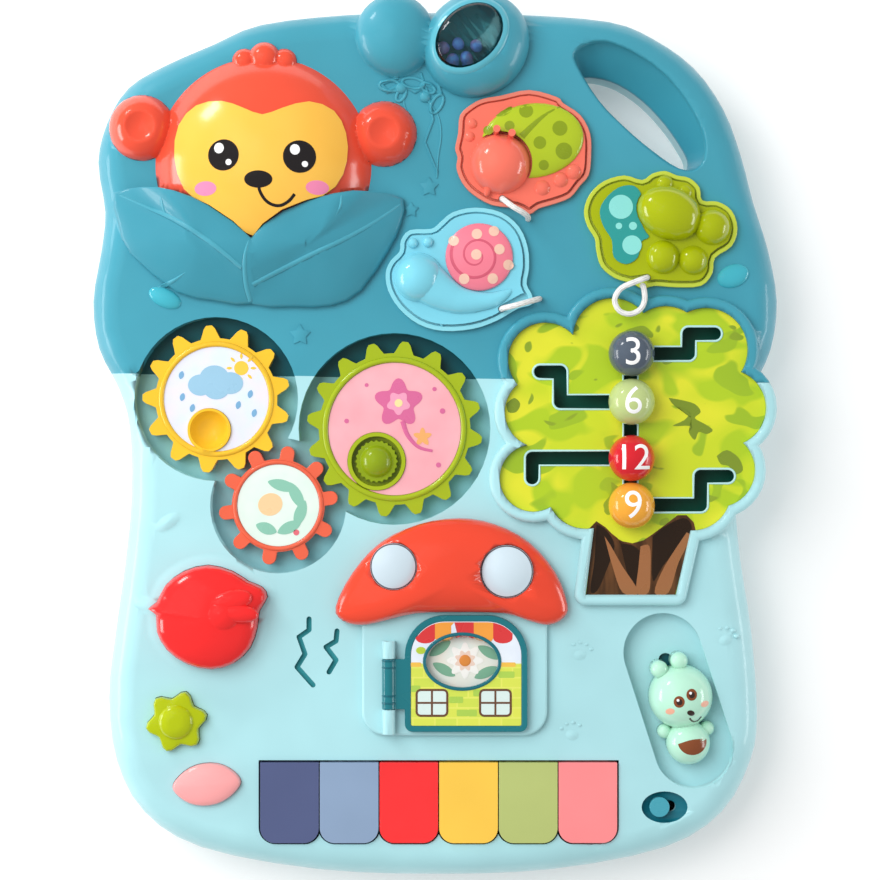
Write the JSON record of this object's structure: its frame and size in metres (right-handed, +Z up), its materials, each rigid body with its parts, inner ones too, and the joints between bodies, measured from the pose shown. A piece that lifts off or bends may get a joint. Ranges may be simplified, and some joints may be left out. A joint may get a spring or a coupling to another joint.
{
  "type": "musical activity table",
  "caption": "Flat moulded play panel for a toddler: gears, number balls in a tree maze, piano keys, buttons, sliding bear, mushroom house door and lift-off animals.",
  "frame": {"origin": "on the floor, under the middle of the panel", "axes": "+X to the right of the child, +Y to the end with the carrying handle, +Z up"},
  "size_m": [0.346, 0.4433, 0.0712],
  "materials": {
    "teal_cover": "moulded gloss",
    "blue_cover": "moulded gloss",
    "base_blue": "moulded gloss",
    "door_blue": "moulded gloss",
    "steel": "plain",
    "foot_rubber": "matte",
    "monkey_red": "moulded gloss",
    "face_yellow": "moulded gloss",
    "leaf_teal": "moulded gloss",
    "cup_teal": "moulded gloss",
    "clear_window": "clear",
    "bead_pink": "moulded gloss",
    "coral": "moulded gloss",
    "sky": "moulded gloss",
    "lime": "moulded gloss",
    "post_teal": "moulded gloss",
    "tree_print": "moulded gloss",
    "mushroom_red": "moulded gloss",
    "lens_pale": "moulded gloss",
    "picture_print": "matte",
    "board_green": "matte",
    "speaker_black": "matte",
    "keypad_rubber": "matte",
    "gear_yellow": "moulded gloss",
    "label_pale": "moulded gloss",
    "gear_orange": "moulded gloss",
    "label_mint": "moulded gloss",
    "gear_green": "moulded gloss",
    "label_pink": "moulded gloss",
    "knob_green": "moulded gloss",
    "ball_slate": "moulded gloss",
    "ball_sage": "moulded gloss",
    "ball_red": "moulded gloss",
    "ball_amber": "moulded gloss",
    "bird_red": "moulded gloss",
    "star_lime": "moulded gloss",
    "lemon_pink": "moulded gloss",
    "switch_teal": "moulded gloss",
    "bear_mint": "moulded gloss",
    "key_indigo": "moulded gloss",
    "key_powder": "moulded gloss",
    "key_red": "moulded gloss",
    "key_yellow": "moulded gloss",
    "key_sage": "moulded gloss",
    "key_pink": "moulded gloss",
    "door_teal": "moulded gloss",
    "door_print": "moulded gloss",
    "ladybug_coral": "moulded gloss",
    "shell_green": "moulded gloss",
    "snail_sky": "moulded gloss",
    "shell_pink": "moulded gloss",
    "butterfly_lime": "moulded gloss",
    "wing_teal": "moulded gloss",
    "cord_white": "braided"
  },
  "bodies": {
    "panel": {"base_tray": "base_blue", "upper_cover": "teal_cover", "lower_cover": "blue_cover", "battery_door": "door_blue", "case_screws": "steel", "rubber_feet": "foot_rubber", "monkey_head": "monkey_red", "monkey_face": "face_yellow", "leaf_collar": "leaf_teal", "rattle_cup": "cup_teal", "rattle_window": "clear_window", "rattle_beads": "bead_pink", "ladybug_tray": "coral", "snail_tray": "sky", "butterfly_tray": "lime", "gear_posts": "post_teal", "tree_plate": "tree_print", "mushroom_cap": "mushroom_red", "cap_spots": "lens_pale", "hinge_pin": "steel", "peek_picture": "picture_print", "circuit_board": "board_green", "speaker": "speaker_black", "battery_springs": "steel", "rubber_keypad": "keypad_rubber", "key_rod": "steel", "ladybug_cord": "cord_white", "snail_cord": "cord_white", "butterfly_cord": "cord_white"},
    "green_gear": {"green_gear": "gear_green", "green_gear_label": "label_pink"},
    "orange_gear": {"orange_gear": "gear_orange", "orange_gear_label": "label_mint"},
    "yellow_gear": {"yellow_gear": "gear_yellow", "yellow_gear_label": "label_pale"},
    "spinner_knob": {"spinner_knob": "knob_green"},
    "ball_3": {"ball_3": "ball_slate"},
    "ball_6": {"ball_6": "ball_sage"},
    "ball_12": {"ball_12": "ball_red"},
    "ball_9": {"ball_9": "ball_amber"},
    "bird_button": {"bird_button": "bird_red"},
    "star_button": {"star_button": "star_lime"},
    "lemon_button": {"lemon_button": "lemon_pink"},
    "power_switch": {"power_switch": "switch_teal"},
    "bear_slider": {"bear_slider": "bear_mint"},
    "key_1": {"key_1": "key_indigo"},
    "key_2": {"key_2": "key_powder"},
    "key_3": {"key_3": "key_red"},
    "key_4": {"key_4": "key_yellow"},
    "key_5": {"key_5": "key_sage"},
    "key_6": {"key_6": "key_pink"},
    "house_door": {"house_door": "door_teal", "door_label": "door_print"},
    "ladybug": {"ladybug_body": "ladybug_coral", "ladybug_shell": "shell_green"},
    "snail": {"snail_body": "snail_sky", "snail_shell": "shell_pink"},
    "butterfly": {"butterfly_body": "butterfly_lime", "butterfly_wing": "wing_teal"}
  },
  "joints": [
    {"name": "green_gear_spin", "type": "hinge", "parent": "panel", "child": "green_gear", "pos_m": [-0.02025, 0.0035, 0.0333], "axis": [0, 0, 1], "continuous": true},
    {"name": "orange_gear_spin", "type": "hinge", "parent": "panel", "child": "orange_gear", "pos_m": [-0.07848, -0.03477, 0.0333], "axis": [0, 0, 1], "continuous": true},
    {"name": "yellow_gear_spin", "type": "hinge", "parent": "panel", "child": "yellow_gear", "pos_m": [-0.1095, 0.0185, 0.0333], "axis": [0, 0, 1], "continuous": true},
    {"name": "spinner_spin", "type": "hinge", "parent": "green_gear", "child": "spinner_knob", "pos_m": [-0.02925, -0.0127, 0.0333], "axis": [0, 0, 1], "continuous": true},
    {"name": "ball_3_slide", "type": "slide", "parent": "panel", "child": "ball_3", "axis": [1, 0, 0], "range_m": [0, 0.029]},
    {"name": "ball_6_slide", "type": "slide", "parent": "panel", "child": "ball_6", "axis": [-1, 0, 0], "range_m": [0, 0.035]},
    {"name": "ball_12_slide", "type": "slide", "parent": "panel", "child": "ball_12", "axis": [-1, 0, 0], "range_m": [0, 0.0425]},
    {"name": "ball_9_slide", "type": "slide", "parent": "panel", "child": "ball_9", "axis": [1, 0, 0], "range_m": [0, 0.035]},
    {"name": "bird_press", "type": "slide", "parent": "panel", "child": "bird_button", "axis": [0, 0, -1], "range_m": [0, 0.003], "stiffness_N_per_m": 300, "springref_m": -0.003},
    {"name": "star_press", "type": "slide", "parent": "panel", "child": "star_button", "axis": [0, 0, -1], "range_m": [0, 0.003], "stiffness_N_per_m": 300, "springref_m": -0.003},
    {"name": "lemon_press", "type": "slide", "parent": "panel", "child": "lemon_button", "axis": [0, 0, -1], "range_m": [0, 0.003], "stiffness_N_per_m": 300, "springref_m": -0.003},
    {"name": "switch_slide", "type": "slide", "parent": "panel", "child": "power_switch", "axis": [1, 0, 0], "range_m": [0, 0.005]},
    {"name": "bear_slide", "type": "slide", "parent": "panel", "child": "bear_slider", "axis": [-0.3061, 0.952, 0], "range_m": [0, 0.018]},
    {"name": "key_1_press", "type": "hinge", "parent": "panel", "child": "key_1", "pos_m": [-0.07265, -0.157, 0.035], "axis": [1, 0, 0], "range_deg": [0, 4], "stiffness_Nm_per_rad": 0.6, "springref_deg": -3.44},
    {"name": "key_2_press", "type": "hinge", "parent": "panel", "child": "key_2", "pos_m": [-0.04285, -0.157, 0.035], "axis": [1, 0, 0], "range_deg": [0, 4], "stiffness_Nm_per_rad": 0.6, "springref_deg": -3.44},
    {"name": "key_3_press", "type": "hinge", "parent": "panel", "child": "key_3", "pos_m": [-0.01305, -0.157, 0.035], "axis": [1, 0, 0], "range_deg": [0, 4], "stiffness_Nm_per_rad": 0.6, "springref_deg": -3.44},
    {"name": "key_4_press", "type": "hinge", "parent": "panel", "child": "key_4", "pos_m": [0.01675, -0.157, 0.035], "axis": [1, 0, 0], "range_deg": [0, 4], "stiffness_Nm_per_rad": 0.6, "springref_deg": -3.44},
    {"name": "key_5_press", "type": "hinge", "parent": "panel", "child": "key_5", "pos_m": [0.04655, -0.157, 0.035], "axis": [1, 0, 0], "range_deg": [0, 4], "stiffness_Nm_per_rad": 0.6, "springref_deg": -3.44},
    {"name": "key_6_press", "type": "hinge", "parent": "panel", "child": "key_6", "pos_m": [0.07635, -0.157, 0.035], "axis": [1, 0, 0], "range_deg": [0, 4], "stiffness_Nm_per_rad": 0.6, "springref_deg": -3.44},
    {"name": "door_hinge", "type": "hinge", "parent": "panel", "child": "house_door", "pos_m": [-0.023, -0.123, 0.0516], "axis": [0, -1, 0], "range_deg": [0, 120]},
    {"name": "ladybug_lift", "type": "slide", "parent": "panel", "child": "ladybug", "axis": [0, 0, 1], "range_m": [0, 0.03]},
    {"name": "snail_lift", "type": "slide", "parent": "panel", "child": "snail", "axis": [0, 0, 1], "range_m": [0, 0.03]},
    {"name": "butterfly_lift", "type": "slide", "parent": "panel", "child": "butterfly", "axis": [0, 0, 1], "range_m": [0, 0.03]}
  ],
  "couplings": [
    {"joint": "green_gear_spin", "follows": "orange_gear_spin", "ratio": -0.625},
    {"joint": "yellow_gear_spin", "follows": "orange_gear_spin", "ratio": -0.76923}
  ]
}
